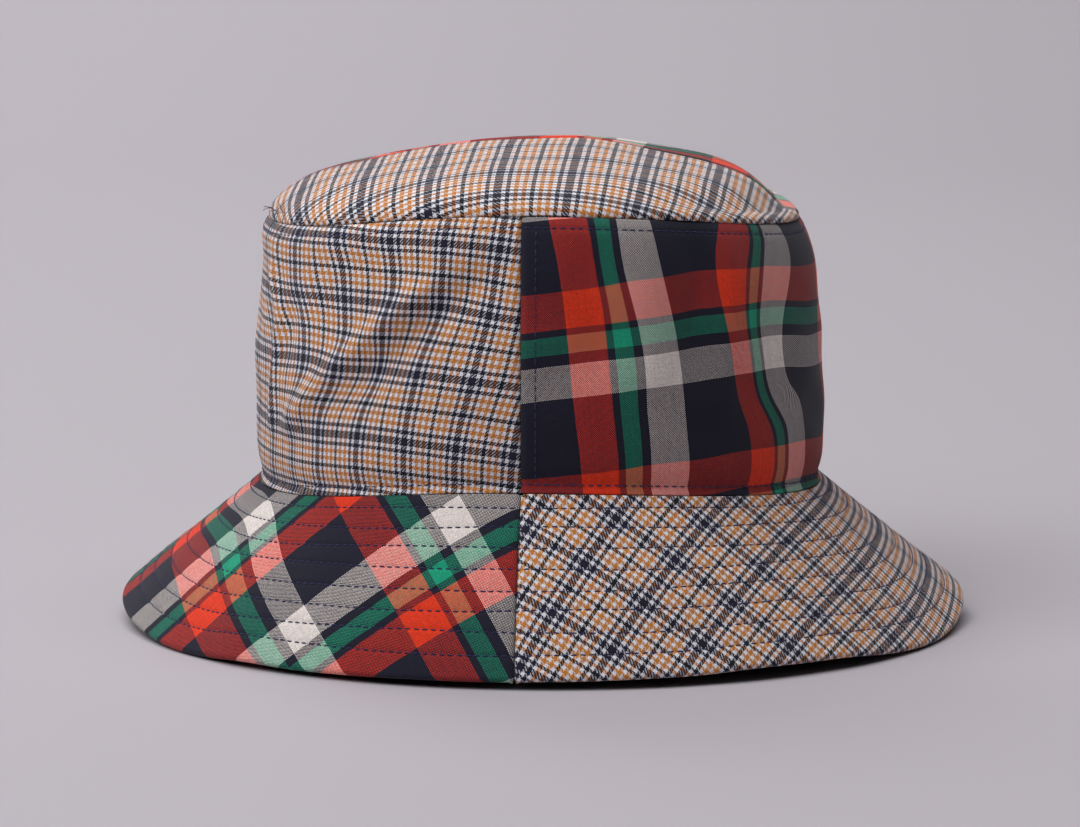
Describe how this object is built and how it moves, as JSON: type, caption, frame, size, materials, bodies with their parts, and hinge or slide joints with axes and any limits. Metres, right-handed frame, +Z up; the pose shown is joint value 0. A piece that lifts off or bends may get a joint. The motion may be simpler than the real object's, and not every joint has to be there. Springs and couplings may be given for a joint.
{
  "type": "bucket hat",
  "caption": "Soft brimmed hat sewn from contrasting cloth panels: puffed oval top, straight crown wall, sloping stitched brim, dark lining and sweatband inside.",
  "frame": {"origin": "centre of the flat underside of the brim's hem, on the surface the hat rests on", "axes": "+Z up through the crown; X along the long way of the head, with the wearer's front taken as -X and the back +X; -Y is the wearer's left"},
  "size_m": [0.2896, 0.243, 0.1645],
  "materials": {
    "check_cloth": "woven cotton twill in a small navy, brown and white check",
    "madras_cloth": "plain-woven cotton plaid in red, navy, green and cream",
    "underbrim_cloth": "matt black cotton",
    "interlining": "stiff undyed canvas, hidden",
    "lining_cloth": "thin dark navy lining",
    "sweatband_tape": "ribbed black tape",
    "thread": "dark indigo sewing thread",
    "label_cloth": "plain woven tab, no lettering"
  },
  "bodies": {
    "root": {"tip_left": "check_cloth", "tip_right": "madras_cloth", "side_panel_front": "check_cloth", "side_panel_rear": "madras_cloth", "brim_top_front": "madras_cloth", "brim_top_rear": "check_cloth", "brim_interlining_front": "interlining", "brim_interlining_rear": "interlining", "underbrim_front": "underbrim_cloth", "underbrim_rear": "underbrim_cloth", "sweatband": "sweatband_tape", "size_label": "label_cloth", "lining_tip": "lining_cloth", "lining_side_front": "lining_cloth", "lining_side_rear": "lining_cloth", "tip_topstitch": "thread", "side_seam_topstitch_left": "thread", "side_seam_topstitch_right": "thread", "crown_base_topstitch": "thread", "brim_stitch_row_1": "thread", "brim_stitch_row_2": "thread", "brim_stitch_row_3": "thread", "brim_stitch_row_4": "thread", "brim_stitch_row_5": "thread", "brim_stitch_row_6": "thread", "brim_stitch_row_7": "thread", "brim_stitch_row_8": "thread"}
  },
  "joints": []
}
